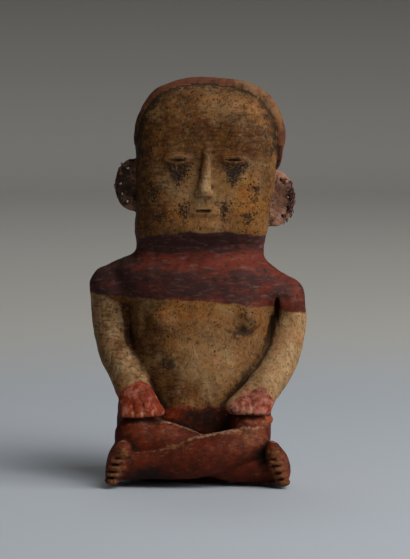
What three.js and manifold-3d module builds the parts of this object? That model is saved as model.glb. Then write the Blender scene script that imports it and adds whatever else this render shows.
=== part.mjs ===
// Seated female figure of slip-painted earthenware, cross-legged, with its hands on its knees.
// Millimetres. +Z is up, the figure faces -Y, and +X is to the right of someone looking at its face.
// It was modelled and fired as one piece, so it is one closed solid, flat on its underside.

import * as THREE from 'three';
import { ParametricGeometry } from 'three/addons/geometries/ParametricGeometry.js';
import { mergeVertices } from 'three/addons/utils/BufferGeometryUtils.js';
import Module from 'manifold-3d';

const wasm = await Module();
wasm.setup();

// Trunk and neck, station by station up from the base:
// height, centre x, half width, front y, back y, squareness (2 is an ellipse)
const TRUNK = [
	[ 0, - 2, 47, - 20, 54, 2.6 ],
	[ 8, - 2, 51, - 24, 57, 2.5 ],
	[ 25, - 2.5, 53.5, - 26, 57.5, 2.4 ],
	[ 48, - 2.5, 53.5, - 28, 54, 2.3 ],
	[ 75, - 1, 51.5, - 31, 49, 2.2 ],
	[ 88, 0, 49.8, - 30.2, 47, 2.2 ],
	[ 104, 0.8, 49.4, - 28.6, 44.5, 2.2 ],
	[ 120, 1.5, 51, - 26, 42, 2.3 ],
	[ 138, - 1, 55.5, - 25.5, 38, 2.4 ],
	[ 146, - 3, 55, - 25, 36, 2.5 ],
	[ 154.5, 0, 46.5, - 18.5, 33.5, 2.6 ],
	[ 160, 1.5, 44.7, - 17.5, 33, 2.7 ],
	[ 168, 2.4, 44.5, - 19.5, 34, 2.8 ],
	[ 176, 2.4, 44, - 21, 35, 2.8 ],
];

// Head from the jaw up, in the same columns; above its foot a dome draws the rings in to the crown
const HEAD = [
	[ 166, 2, 44, - 20, 34, 2.8 ],
	[ 172, 2.4, 45.8, - 24, 36, 3 ],
	[ 185, 3.4, 46.4, - 27, 38, 3.2 ],
	[ 205, 5, 47.2, - 27.5, 39, 3.2 ],
	[ 225, 5.9, 48.6, - 27, 39.5, 3.1 ],
	[ 240, 6.3, 49.6, - 26.5, 38.5, 3 ],
	[ 252, 6.3, 48.6, - 26.2, 37.7, 2.9 ],
	[ 262, 6.3, 47.6, - 27, 37.6, 2.7 ],
	[ 269, 6, 48.3, - 28.1, 37.7, 2.6 ],
	[ 278, 5.2, 49.4, - 29, 37, 2.3 ],
];
const DOME = { foot: 240, height: 36.8, power: 2.5 };
const DOME_SHARES = [ 0.3, 0.5, 0.68, 0.82, 0.92, 0.98, 1 ];

// Hair cap: a coat of clay over the head, with a raised rim arched over the forehead
// from side to side and an edge that slopes down behind the ears to the nape
const CAP_THICKNESS = 2;
const CAP_SHIFT = 2;
const CAP_RIM = { y: - 6, z: 232 };
const CAP_RIM_RADIUS = 3.6;
const CAP_NAPE_DROP = THREE.MathUtils.degToRad( 33 );

// Ears: upright discs with a dished front and a row of small holes pierced near the rim
const LEFT_EAR = { x: - 44, y: 5, z: 204.7, wide: 13.5, deep: 5, high: 18.4, outward: - 1 };
const RIGHT_EAR = { x: 52.5, y: 5, z: 195.2, wide: 14.5, deep: 5.5, high: 20, outward: 1 };
const EAR_DISH = 0.62;
const EAR_HOLE_RADIUS = 1;
const EAR_HOLE_RING = 0.72;
const EAR_HOLE_TURNS = [ 63, 5, - 28, - 59 ].map( THREE.MathUtils.degToRad );
const EAR_HOLE_FALL = THREE.MathUtils.degToRad( 5 );

// Limbs, point by point: x, y, z, half width, half thickness
const LEFT_SHOULDER = [
	[ - 30, 8, 139.5, 20, 17.5 ],
	[ - 46, 8, 138, 17.5, 16.6 ],
	[ - 58.3, 7, 134.2, 15, 14.5 ],
];
const RIGHT_SHOULDER = [
	[ 28, 8, 138.5, 20, 17 ],
	[ 44, 8, 134, 17.5, 16 ],
	[ 58.4, 7, 126, 15, 14.6 ],
];
const LEFT_ARM = [
	[ - 60.5, 7, 134, 13.8, 13.8 ],
	[ - 62.4, 6, 118, 11.9, 11.6 ],
	[ - 60.2, 3, 102, 11.6, 11.6 ],
	[ - 57, - 4, 89, 11.6, 11.6 ],
	[ - 51, - 14, 78, 11.6, 11.4 ],
	[ - 45.3, - 25, 68, 11.6, 10.6 ],
];
const RIGHT_ARM = [
	[ 61.5, 7, 126, 12.6, 12.6 ],
	[ 64.2, 6, 114, 11.3, 11 ],
	[ 62.6, 3, 100, 11.6, 11 ],
	[ 59.4, - 4, 88, 12, 11.6 ],
	[ 54.2, - 13, 78, 12, 11.4 ],
	[ 46, - 25, 68, 11.6, 10.6 ],
];
const LEFT_HAND = [
	[ - 45.3, - 25, 68, 11.6, 10.6 ],
	[ - 41.5, - 33.2, 59, 13, 8 ],
	[ - 38.2, - 38.8, 48.5, 16.2, 6.2 ],
];
const RIGHT_HAND = [
	[ 46, - 25, 68, 11.6, 10.6 ],
	[ 39.6, - 33.5, 60, 13, 8 ],
	[ 33, - 39.6, 50.5, 15.2, 6.2 ],
];
const LEFT_THIGH = [
	[ - 28, 20, 32, 22, 24 ],
	[ - 36, - 8, 34, 18.5, 19 ],
	[ - 40.5, - 29, 34, 15.5, 17.5 ],
];
const RIGHT_THIGH = [
	[ 26, 20, 32, 22, 24 ],
	[ 33, - 8, 36, 17, 18 ],
	[ 35.5, - 29.5, 37.5, 14.5, 16.5 ],
];
const BACK_SHIN = [
	[ - 41, - 29.5, 31, 15.5, 15.5 ],
	[ - 23, - 32.5, 30, 14, 13.5 ],
	[ 0, - 33.5, 22.5, 13, 12.5 ],
	[ 24, - 34.5, 14, 11.5, 11.5 ],
	[ 50, - 36, 12.5, 10.5, 10.5 ],
];
const FRONT_SHIN = [
	[ 36, - 36, 28.5, 13, 13 ],
	[ 21, - 41, 26, 13.2, 13.2 ],
	[ 3, - 43.5, 21.5, 14, 13.5 ],
	[ - 17, - 43, 17.2, 11.6, 11.6 ],
	[ - 33, - 42, 15.7, 10.4, 10.4 ],
	[ - 50, - 40, 14.8, 10, 10 ],
];

// Feet: slabs standing on edge, heel at the back and toes stacked up the front edge
const FOOT_LEAN = THREE.MathUtils.degToRad( 19 );
const LEFT_FOOT = [
	[ - 53, - 16, 17.5, 6.5, 11 ],
	[ - 54.2, - 30, 17.8, 7.8, 14.4 ],
	[ - 54.4, - 45.5, 17.2, 7.8, 16 ],
];
const RIGHT_FOOT = [
	[ 57, - 16, 13, 6.5, 11 ],
	[ 56, - 30, 14.8, 7, 14.2 ],
	[ 54.6, - 45.5, 16.4, 6.8, 16.4 ],
];
const TOE_TOPS = [ 1, 0.3, - 0.02, - 0.38, - 0.68, - 1 ];
const TOE_SPREAD = 14.6;
const TOE_REACH = 4.4;
const TOE_DEPTH = 5;

// Fingers: short grooves cut up into the level lower edge of each hand;
// the middle of the row, its rise to the right and the space between grooves
const LEFT_GROOVES = { x: - 40.8, y: - 45.6, z: 50, rise: 0.02, spacing: 6.8 };
const RIGHT_GROOVES = { x: 29.5, y: - 46.4, z: 52.4, rise: 0, spacing: 5.2 };
const FINGER_COUNT = 5;
const FINGER_LENGTH = 2.4;
const GROOVE_HALF = [ 0.8, 2.4, 4.4 ];

// Small swellings: centre x, y, z and half sizes. The breasts and a nipple, the clay between arm and
// trunk, and the small lumps on the right elbow, knee and shin
const BREASTS = [
	[ - 24, - 18, 113, 9, 8, 9 ],
	[ 34, - 16, 114.5, 10, 9.5, 10 ],
];
const NIPPLE = [ 34.5, - 25, 115.5, 2.4, 2, 2.4 ];
const WEBS = [
	[ - 50, 7, 106, 6, 9, 22 ],
	[ 51.5, 12, 107, 6, 8, 19 ],
];
const LUMPS = [
	[ 64.5, 1, 88, 5, 6, 5 ],
	[ 48.5, - 27, 45, 3.2, 3.2, 3.2 ],
	[ 32, - 48.5, 32.5, 2.8, 2.6, 2.4 ],
];

// The slit at the right armpit, in the same columns
const ARMPIT = [ 54.5, - 12, 119, 2, 8, 9.5 ];

// Face, set out from the head's own height and width: eyes at half height, nose to three quarters
const CHIN_Z = 171;
const CROWN_Z = 277;
const FACE_HEIGHT = CROWN_Z - CHIN_Z;
const FACE_WIDTH = 97;
const EYE_Z = CROWN_Z - FACE_HEIGHT / 2;
const NOSE_Z = CROWN_Z - FACE_HEIGHT * 0.75;
const MOUTH_Z = NOSE_Z - ( NOSE_Z - CHIN_Z ) / 3;
const EYE_WIDTH = FACE_WIDTH / 5;
const SLIT = 1;

// How finely the round forms are faceted
const TRUNK_SIDES = 28;
const HEAD_SIDES = 26;
const LIMB_SIDES = 12;
const RIM_STEPS = 12;

// The distance under which two corners of a surface are the same corner
const SAME_CORNER = 1e-4;

// A box that is larger than the figure, for cutting
const BLOCK = 400;

// The ring of a lofted form at one height, as a superellipse between its front and back,
// drawn in over a dome to ( 1 - share of height ^ power ) ^ ( 1 / power ) of its size
function ringReader( stations, growth, dome ) {

	const heights = stations.map( ( row ) => row[ 0 ] );
	const values = new THREE.CubicInterpolant( heights, stations.map( ( row ) => row.slice( 1 ) ).flat(), 5 );
	return ( height ) => {

		const [ x, half, front, back, square ] = values.evaluate( height );
		const share = dome ? Math.max( 0, height - dome.foot ) / ( dome.height + growth ) : 0;
		const size = dome ? Math.max( 0, 1 - share ** dome.power ) ** ( 1 / dome.power ) : 1;
		return {
			x,
			y: ( front + back ) / 2,
			half: size * ( half + growth ),
			deep: size * ( ( back - front ) / 2 + growth ),
			power: 2 / square,
		};

	};

}

// The heights of a form's rings: two to each station, and closer over a dome
function ringHeights( stations, growth, dome ) {

	const heights = [ stations[ 0 ][ 0 ] ];
	for ( let i = 1; i < stations.length; i ++ ) {

		const [ low, high ] = [ stations[ i - 1 ][ 0 ], stations[ i ][ 0 ] ];
		heights.push( ( low + high ) / 2, high );

	}

	if ( ! dome ) return heights;
	const below = heights.filter( ( height ) => height <= dome.foot );
	return below.concat( DOME_SHARES.map( ( share ) => dome.foot + share * ( dome.height + growth ) ) );

}

// A form built up of rings, closed by a point in its lowest and highest ring
function loft( stations, sides, growth = 0, dome = null ) {

	const ringAt = ringReader( stations, growth, dome );
	const heights = ringHeights( stations, growth, dome );
	const stacks = heights.length + 1;
	const bent = ( value, power ) => Math.sign( value ) * Math.abs( value ) ** power;
	const surface = ( u, v, target ) => {

		const stack = Math.round( v * stacks );
		const height = heights[ THREE.MathUtils.clamp( stack - 1, 0, heights.length - 1 ) ];
		const ring = ringAt( height );
		const open = stack === 0 || stack === stacks ? 0 : 1;
		const turn = u * 2 * Math.PI;
		target.set(
			ring.x + open * ring.half * bent( Math.cos( turn ), ring.power ),
			ring.y + open * ring.deep * bent( Math.sin( turn ), ring.power ),
			height,
		);

	};

	return new ParametricGeometry( surface, sides, stacks );

}

// A rounded limb carried along a smooth path; its half width lies along the given direction
function limb( points, across, sides, rings ) {

	const values = new THREE.CubicInterpolant( points.map( ( row, index ) => index ), points.flat(), 5 );
	const last = points.length - 1;
	const domeRings = 2;
	const stacks = rings + 2 * domeRings;
	const nudge = 0.02;
	const centreAt = ( at ) => new THREE.Vector3().fromArray( values.evaluate( THREE.MathUtils.clamp( at, 0, last ) ) );
	const surface = ( u, v, target ) => {

		const stack = v * stacks;
		const overEnd = Math.max( 0, stack - stacks + domeRings ) - Math.max( 0, domeRings - stack );
		const dome = overEnd / domeRings * Math.PI / 2;
		const at = THREE.MathUtils.clamp( ( stack - domeRings ) / rings, 0, 1 ) * last;
		const along = centreAt( at + nudge ).sub( centreAt( at - nudge ) ).normalize();
		const centre = centreAt( at );
		const [ , , , wide, thick ] = values.evaluate( at );
		const side = across.clone().addScaledVector( along, - across.dot( along ) ).normalize();
		const third = new THREE.Vector3().crossVectors( along, side );
		const turn = u * 2 * Math.PI;
		target.copy( centre )
			.addScaledVector( along, Math.min( wide, thick ) * Math.sin( dome ) )
			.addScaledVector( side, wide * Math.cos( dome ) * Math.cos( turn ) )
			.addScaledVector( third, thick * Math.cos( dome ) * Math.sin( turn ) );

	};

	return new ParametricGeometry( surface, sides, stacks );

}

// A ball, or an egg when its three half sizes differ
function ball( x, y, z, wide, deep = wide, high = wide, sides = 8 ) {

	return new THREE.SphereGeometry( 1, sides, Math.ceil( sides * 0.6 ) ).scale( wide, deep, high ).translate( x, y, z );

}

// The volume under the triangles, negative where they face inwards
function signedVolume( positions, corners ) {

	const point = ( corner ) => new THREE.Vector3().fromArray( positions, corner * 3 );
	let volume = 0;
	for ( let i = 0; i < corners.length; i += 3 ) {

		const [ a, b, c ] = [ point( corners[ i ] ), point( corners[ i + 1 ] ), point( corners[ i + 2 ] ) ];
		volume += a.dot( b.cross( c ) ) / 6;

	}

	return volume;

}

// A closed surface as a solid that can be joined and cut
function solid( geometry ) {

	geometry.deleteAttribute( 'normal' );
	geometry.deleteAttribute( 'uv' );
	const merged = mergeVertices( geometry, SAME_CORNER );
	const positions = merged.attributes.position.array;
	const corners = [];
	for ( let i = 0; i < merged.index.count; i += 3 ) {

		const [ a, b, c ] = merged.index.array.slice( i, i + 3 );
		if ( a !== b && b !== c && c !== a ) corners.push( a, b, c );

	}

	if ( signedVolume( positions, corners ) < 0 ) corners.reverse();
	return new wasm.Manifold( new wasm.Mesh( {
		numProp: 3,
		vertProperties: Float32Array.from( positions ),
		triVerts: Uint32Array.from( corners ),
	} ) );

}

function join( solids ) {

	return solids.reduce( ( whole, next ) => whole.add( next ) );

}

// How far from the middle of the rim's arch the head's surface lies, in one direction
function rimReach( direction, centre ) {

	const ringAt = ringReader( HEAD, 0, DOME );
	let inside = 0;
	let outside = FACE_WIDTH;
	for ( let halving = 0; halving < 20; halving ++ ) {

		const reach = ( inside + outside ) / 2;
		const z = centre.z + reach * Math.sin( direction );
		const ring = ringAt( z );
		const square = 2 / ring.power;
		const across = Math.abs( centre.x + reach * Math.cos( direction ) - ring.x ) / ring.half;
		const deep = Math.abs( CAP_RIM.y - ring.y ) / ring.deep;
		const isInside = z < CROWN_Z && across ** square + deep ** square < 1;
		if ( isInside ) inside = reach;
		else outside = reach;

	}

	return inside;

}

// The cap is the head grown by the cap's thickness, kept behind the rim and above the nape line,
// with a roll of clay along the rim
function hairCap() {

	const coat = solid( loft( HEAD, HEAD_SIDES, CAP_THICKNESS, DOME ) );
	const behindRim = new THREE.BoxGeometry( BLOCK, BLOCK, BLOCK ).translate( 0, CAP_RIM.y + BLOCK / 2, CAP_RIM.z );
	const aboveNape = new THREE.BoxGeometry( BLOCK, BLOCK, BLOCK )
		.translate( 0, 0, BLOCK / 2 )
		.rotateX( - CAP_NAPE_DROP )
		.translate( 0, CAP_RIM.y, CAP_RIM.z );
	const centre = new THREE.Vector3( ringReader( HEAD, 0, DOME )( CAP_RIM.z ).x, CAP_RIM.y, CAP_RIM.z );
	const roll = [];
	for ( let i = 0; i <= RIM_STEPS; i ++ ) {

		const direction = i / RIM_STEPS * Math.PI;
		const reach = rimReach( direction, centre );
		const x = centre.x + reach * Math.cos( direction );
		const z = centre.z + reach * Math.sin( direction );
		roll.push( [ x, centre.y, z, CAP_RIM_RADIUS, CAP_RIM_RADIUS ] );

	}

	const rim = solid( limb( roll, new THREE.Vector3( 0, 1, 0 ), 7, RIM_STEPS * 1.5 ) );
	const kept = coat.intersect( solid( behindRim ) ).intersect( solid( aboveNape ) );
	return kept.add( rim ).translate( [ CAP_SHIFT, 0, 0 ] );

}

// One ear: the disc, less its dish and less the holes along its rim
function ear( { x, y, z, wide, deep, high, outward } ) {

	const disc = solid( ball( x, y, z, wide, deep, high, 16 ) );
	const dish = solid( ball( x, y - deep, z, wide * EAR_DISH, deep * EAR_DISH, high * EAR_DISH, 10 ) );
	let pierced = disc.subtract( dish );
	for ( const turn of EAR_HOLE_TURNS ) {

		const hole = new THREE.CylinderGeometry( EAR_HOLE_RADIUS, EAR_HOLE_RADIUS, 4 * deep, 6 )
			.rotateX( - EAR_HOLE_FALL )
			.translate(
				x + outward * wide * EAR_HOLE_RING * Math.cos( turn ),
				y,
				z + high * EAR_HOLE_RING * Math.sin( turn ),
			);
		pierced = pierced.subtract( solid( hole ) );

	}

	return pierced;

}

// One foot with its blunt toes, the largest at the top; lean is the tilt of the slab to the side
function foot( points, lean ) {

	const across = new THREE.Vector3( Math.cos( lean ), 0, Math.sin( lean ) );
	const up = new THREE.Vector3( - Math.sin( lean ), 0, Math.cos( lean ) );
	const [ x, y, z, wide, thick ] = points[ points.length - 1 ];
	const parts = [ solid( limb( points, across, LIMB_SIDES, 5 ) ) ];
	for ( let i = 1; i < TOE_TOPS.length; i ++ ) {

		const middle = ( TOE_TOPS[ i - 1 ] + TOE_TOPS[ i ] ) / 2 * TOE_SPREAD;
		const half = ( TOE_TOPS[ i - 1 ] - TOE_TOPS[ i ] ) / 2 * TOE_SPREAD;
		const place = new THREE.Vector3( x, y - TOE_REACH, z ).addScaledVector( up, middle );
		const broad = 0.9 * wide * Math.sqrt( 1 - ( middle / ( thick + 1 ) ) ** 2 );
		parts.push( solid( ball( place.x, place.y, place.z, broad, TOE_DEPTH, 1.15 * half, 8 ) ) );

	}

	return join( parts );

}

// One hand: the flat palm over the knee, cut level below and grooved into fingers
function hand( points, { x, y, z, rise, spacing } ) {

	const palm = solid( limb( points, new THREE.Vector3( 1, 0, 0 ), LIMB_SIDES, 5 ) );
	let parted = palm.trimByPlane( [ 0, 0, 1 ], z - FINGER_LENGTH );
	for ( let i = 1; i < FINGER_COUNT; i ++ ) {

		const step = ( i - FINGER_COUNT / 2 ) * spacing;
		parted = parted.subtract( solid( ball( x + step, y, z + step * rise, ...GROOVE_HALF, 6 ) ) );

	}

	return parted;

}

function torso() {

	const breasts = BREASTS.map( ( row ) => solid( ball( ...row, 12 ) ) );
	return join( [ solid( loft( TRUNK, TRUNK_SIDES ) ), ...breasts, solid( ball( ...NIPPLE, 6 ) ) ] );

}

// Where the middle of the face stands at one height
function faceAxis( height ) {

	const ring = ringReader( HEAD, 0, DOME )( height );
	return { x: ring.x, y: ring.y - ring.deep };

}

// The face: two slit eyes in low lids, a straight nose and a slit mouth between low lips
function head() {

	const eyes = faceAxis( EYE_Z );
	const nose = faceAxis( NOSE_Z );
	const mouth = faceAxis( MOUTH_Z );
	const across = new THREE.Vector3( 1, 0, 0 );
	const bridge = [ [ eyes.x, eyes.y - 1, EYE_Z + 3, 3, 2.5 ], [ nose.x, nose.y - 2, NOSE_Z + 5, 4.5, 4.5 ] ];
	const skull = solid( loft( HEAD, HEAD_SIDES, 0, DOME ) );
	const raised = [ skull, hairCap(), solid( limb( bridge, across, 8, 3 ) ) ];
	const slits = [];
	for ( const side of [ - 1, 1 ] ) {

		const x = eyes.x + side * EYE_WIDTH;
		raised.push( solid( ball( x, eyes.y + 0.6, EYE_Z, EYE_WIDTH * 0.5, 2.6, 4.2 ) ) );
		raised.push( solid( ball( nose.x + side * 3.5, nose.y, NOSE_Z + 3, 3, 3.2, 2.6, 8 ) ) );
		slits.push( new THREE.BoxGeometry( EYE_WIDTH * 0.8, 4, SLIT ).translate( x, eyes.y - 2, EYE_Z ) );

	}

	raised.push( solid( ball( mouth.x, mouth.y + 0.6, MOUTH_Z, EYE_WIDTH * 0.55, 2.6, 4 ) ) );
	slits.push( new THREE.BoxGeometry( EYE_WIDTH * 0.9, 4, SLIT ).translate( mouth.x, mouth.y - 2, MOUTH_Z ) );
	return slits.reduce( ( whole, slit ) => whole.subtract( solid( slit ) ), join( raised ) );

}

function limbs() {

	const x = new THREE.Vector3( 1, 0, 0 );
	const y = new THREE.Vector3( 0, 1, 0 );
	const z = new THREE.Vector3( 0, 0, 1 );
	return join( [
		solid( limb( LEFT_SHOULDER, y, LIMB_SIDES, 4 ) ),
		solid( limb( RIGHT_SHOULDER, y, LIMB_SIDES, 4 ) ),
		solid( limb( LEFT_ARM, x, LIMB_SIDES, 10 ) ),
		solid( limb( RIGHT_ARM, x, LIMB_SIDES, 10 ) ),
		solid( limb( LEFT_THIGH, x, LIMB_SIDES, 4 ) ),
		solid( limb( RIGHT_THIGH, x, LIMB_SIDES, 4 ) ),
		solid( limb( BACK_SHIN, z, LIMB_SIDES, 8 ) ),
		solid( limb( FRONT_SHIN, z, LIMB_SIDES, 10 ) ),
		foot( LEFT_FOOT, - FOOT_LEAN ),
		foot( RIGHT_FOOT, FOOT_LEAN ),
		hand( LEFT_HAND, LEFT_GROOVES ),
		hand( RIGHT_HAND, RIGHT_GROOVES ),
		...[ ...WEBS, ...LUMPS ].map( ( row ) => solid( ball( ...row ) ) ),
	] );

}

// The whole figure, with everything under the base plane cut away
function figure() {

	const below = new THREE.BoxGeometry( BLOCK, BLOCK, BLOCK ).translate( 0, 0, - BLOCK / 2 );
	const body = torso().add( limbs() ).subtract( solid( ball( ...ARMPIT ) ) );
	return join( [ body, head(), ear( LEFT_EAR ), ear( RIGHT_EAR ) ] ).subtract( solid( below ) );

}

function meshOf( body, name, material ) {

	const { vertProperties, triVerts } = body.getMesh();
	const geometry = new THREE.BufferGeometry();
	geometry.setAttribute( 'position', new THREE.BufferAttribute( Float32Array.from( vertProperties ), 3 ) );
	geometry.setIndex( new THREE.BufferAttribute( Uint32Array.from( triVerts ), 1 ) );
	geometry.computeVertexNormals();
	const mesh = new THREE.Mesh( geometry, material );
	mesh.name = name;
	return mesh;

}

const earthenware = new THREE.MeshStandardMaterial( { color: 0xa87f55, roughness: 0.5, metalness: 0 } );
const group = new THREE.Group();
group.add( meshOf( figure(), 'seated_figure', earthenware ) );

export default group;
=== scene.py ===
"""A seated figure of burnished, slip-painted earthenware, with its finish, floor and light.

Forms are worked out in millimetres as signed distances, negative inside the clay, and laid into
meshes in metres. +Z is up, the figure faces -Y, and +X is to the right of someone facing it.
"""

from functools import partial

import bmesh
import bpy
import numpy as np
from bpy.props import FloatProperty, FloatVectorProperty, PointerProperty
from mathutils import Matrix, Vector


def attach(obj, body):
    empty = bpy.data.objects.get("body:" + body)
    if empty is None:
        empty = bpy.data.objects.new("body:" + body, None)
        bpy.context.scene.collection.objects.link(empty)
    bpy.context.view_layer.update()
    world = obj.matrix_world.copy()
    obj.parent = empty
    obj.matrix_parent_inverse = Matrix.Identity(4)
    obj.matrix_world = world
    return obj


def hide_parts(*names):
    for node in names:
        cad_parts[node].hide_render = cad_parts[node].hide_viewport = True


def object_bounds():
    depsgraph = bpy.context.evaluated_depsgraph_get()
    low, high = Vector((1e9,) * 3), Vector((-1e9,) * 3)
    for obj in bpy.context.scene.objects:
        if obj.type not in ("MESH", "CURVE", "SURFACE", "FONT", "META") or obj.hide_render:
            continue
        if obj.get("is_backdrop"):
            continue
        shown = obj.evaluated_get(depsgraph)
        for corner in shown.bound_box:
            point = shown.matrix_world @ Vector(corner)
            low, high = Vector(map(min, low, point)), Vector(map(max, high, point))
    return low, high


bl_info = {
    "name": "Seated Earthenware Figure",
    "version": (1, 0, 0),
    "blender": (4, 5, 0),
    "location": "3D View > Sidebar > Figure",
    "description": "Builds a seated slip-painted earthenware figure around its packed solid",
    "category": "Add Mesh",
}

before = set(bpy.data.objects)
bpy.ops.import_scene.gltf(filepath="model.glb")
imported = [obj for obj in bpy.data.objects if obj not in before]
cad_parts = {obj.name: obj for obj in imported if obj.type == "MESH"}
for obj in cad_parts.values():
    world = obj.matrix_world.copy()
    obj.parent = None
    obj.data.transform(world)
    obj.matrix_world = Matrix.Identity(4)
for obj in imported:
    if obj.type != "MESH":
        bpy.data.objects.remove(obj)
CAD_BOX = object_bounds()
MM = 0.001

# Trunk and neck, up from the base: height, centre x, half width, front y, back y, squareness
TRUNK = [
    (0, -2, 47, -20, 54, 2.6),
    (8, -2, 51, -24, 57, 2.5),
    (25, -2.5, 53.5, -26, 57.5, 2.4),
    (48, -2.5, 53.5, -28, 54, 2.3),
    (75, -1, 51.5, -31, 49, 2.2),
    (88, 0, 49.8, -30.2, 47, 2.2),
    (104, 0.8, 49.4, -28.6, 44.5, 2.2),
    (120, 1.5, 51, -26, 42, 2.3),
    (138, -1, 55.5, -25.5, 38, 2.4),
    (146, -3, 55, -25, 36, 2.5),
    (150, -2.5, 52, -23.5, 35, 2.5),
    (154.5, 0, 46.5, -18.5, 33.5, 2.6),
    (160, 1.5, 44.7, -17.5, 33, 2.7),
    (168, 2.4, 44.5, -19.5, 34, 2.8),
    (176, 2.4, 44, -21, 35, 2.8),
]

# Head from the jaw up, in the same columns, and the dome that closes it: foot, height, power
HEAD = [
    (166, 2, 44, -20, 34, 2.8),
    (172, 2.4, 45.8, -24, 36, 3),
    (185, 3.4, 46.4, -27, 38, 3.2),
    (205, 5, 47.2, -27.5, 39, 3.2),
    (225, 5.9, 48.6, -27, 39.5, 3.1),
    (240, 6.3, 49.6, -26.5, 38.5, 3),
    (252, 6.3, 48.6, -26.2, 37.7, 2.9),
    (262, 6.3, 47.6, -27, 37.6, 2.7),
    (269, 6.0, 48.3, -28.1, 37.7, 2.6),
    (278, 5.2, 49.4, -29, 37, 2.3),
]
DOME = (240, 36.8, 2.5)

# Hair cap: a coat over the head behind a raised rim, its lower edge sloping down to the nape
CAP_THICKNESS = 2
CAP_SHIFT = 2
CAP_RIM_Y = -6
CAP_RIM_Z = 232
CAP_RIM_RADIUS = 3.6
CAP_NAPE_DROP = np.radians(33)

# Limbs, point by point: x, y, z, half width along the given direction, half thickness
LEFT_SHOULDER = [(-30, 8, 139.5, 20, 17.5), (-46, 8, 138, 17.5, 16.6), (-58.3, 7, 134.2, 15, 14.5)]
RIGHT_SHOULDER = [(28, 8, 138.5, 20, 17), (44, 8, 134, 17.5, 16), (58.4, 7, 126, 15, 14.6)]
LEFT_WRIST = (-45.3, -25, 68, 11.6, 10.6)
RIGHT_WRIST = (46, -25, 68, 11.6, 10.6)
LEFT_ARM = [
    (-60.5, 7, 134, 13.8, 13.8), (-62.4, 6, 118, 11.9, 11.6), (-60.2, 3, 102, 11.6, 11.6),
    (-57, -4, 89, 11.6, 11.6), (-51, -14, 78, 11.6, 11.4), LEFT_WRIST,
]
RIGHT_ARM = [
    (61.5, 7, 126, 12.6, 12.6), (64.2, 6, 114, 11.3, 11), (62.6, 3, 100, 11.6, 11),
    (59.4, -4, 88, 12, 11.6), (54.2, -13, 78, 12, 11.4), RIGHT_WRIST,
]
LEFT_HAND = [LEFT_WRIST, (-41.5, -33.2, 59, 13, 8), (-38.2, -38.8, 48.5, 16.2, 6.2)]
RIGHT_HAND = [RIGHT_WRIST, (39.6, -33.5, 60, 13, 8), (33, -39.6, 50.5, 15.2, 6.2)]
LEFT_THIGH = [(-28, 20, 32, 22, 24), (-36, -8, 34, 18.5, 19), (-40.5, -29, 34, 15.5, 17.5)]
RIGHT_THIGH = [(26, 20, 32, 22, 24), (33, -8, 36, 17, 18), (35.5, -29.5, 37.5, 14.5, 16.5)]
BACK_SHIN = [
    (-41, -29.5, 31, 15.5, 15.5), (-23, -32.5, 30, 14, 13.5), (0, -33.5, 22.5, 13, 12.5),
    (24, -34.5, 14, 11.5, 11.5), (50, -36, 12.5, 10.5, 10.5),
]
FRONT_SHIN = [
    (36, -36, 28.5, 13, 13), (21, -41, 26, 13.2, 13.2), (3, -43.5, 21.5, 14, 13.5),
    (-17, -43, 17.2, 11.6, 11.6), (-33, -42, 15.7, 10.4, 10.4), (-50, -40, 14.8, 10, 10),
]
FOOT_LEAN = np.radians(19)
LEFT_FOOT = [
    (-53, -16, 17.5, 6.5, 11), (-54.2, -30, 17.8, 7.8, 14.4), (-54.4, -45.5, 17.2, 7.8, 16)]
RIGHT_FOOT = [(57, -16, 13, 6.5, 11), (56, -30, 14.8, 7, 14.2), (54.6, -45.5, 16.4, 6.8, 16.4)]
FEET = [(LEFT_FOOT, -FOOT_LEAN), (RIGHT_FOOT, FOOT_LEAN)]

# Toes: where each ends, as shares of the spread; reach out of the foot; half width and height as
# shares of the foot's and the toe's, half depth; and the groove's shift and half sizes
TOE_TOPS = (1, 0.30, -0.02, -0.38, -0.68, -1)
TOE_SPREAD = 14.6
TOE_REACH = 4.4
TOE_WIDE, TOE_DEEP, TOE_HIGH = 0.9, 5, 1.3
TOE_GAP_SHIFT = (3.0, 5.4, 0)
TOE_GAP_HALF = (4.4, 3.4, 0.9)

# Grooves between the fingers: middle of the row, its rise from left to right, spacing
LEFT_GROOVES = ((-40.8, -45.6, 50), 0.02, 6.8)
RIGHT_GROOVES = ((29.5, -46.4, 52.4), 0.0, 5.2)
HANDS = [(LEFT_HAND, LEFT_GROOVES), (RIGHT_HAND, RIGHT_GROOVES)]
FINGER_COUNT = 5
FINGER_LENGTH = 2.4
# A groove's course from its middle: offset in y and z, half width, depth
GROOVE_COURSE = [(0.2, -3.5, 1.0, 1.6), (0.7, 1.0, 1.0, 1.5), (4.0, 7.5, 0.6, 0.9)]

# Ears: centre, half sizes, the side that they point to; and the holes pierced near the rim
LEFT_EAR = ((-44, 5, 204.7), (13.5, 5, 18.4), -1)
RIGHT_EAR = ((52.5, 5, 195.2), (14.5, 5.5, 20), 1)
EAR_DISH = 0.62
EAR_HOLE_RADIUS = 1.0
EAR_HOLE_RING = 0.72
EAR_HOLE_TURNS = np.radians((63, 5, -28, -59))
EAR_HOLE_FALL = 0.087
# Rootlets: ear, hoops through each hole, strays along the rim; and the arc that strays keep to
FIBRES = [(RIGHT_EAR, 5, 14), (LEFT_EAR, 1, 2)]
STRAY_ARC = np.radians(120)
STRAND_RINGS = 26
TUBE_SIDES = 6

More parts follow.
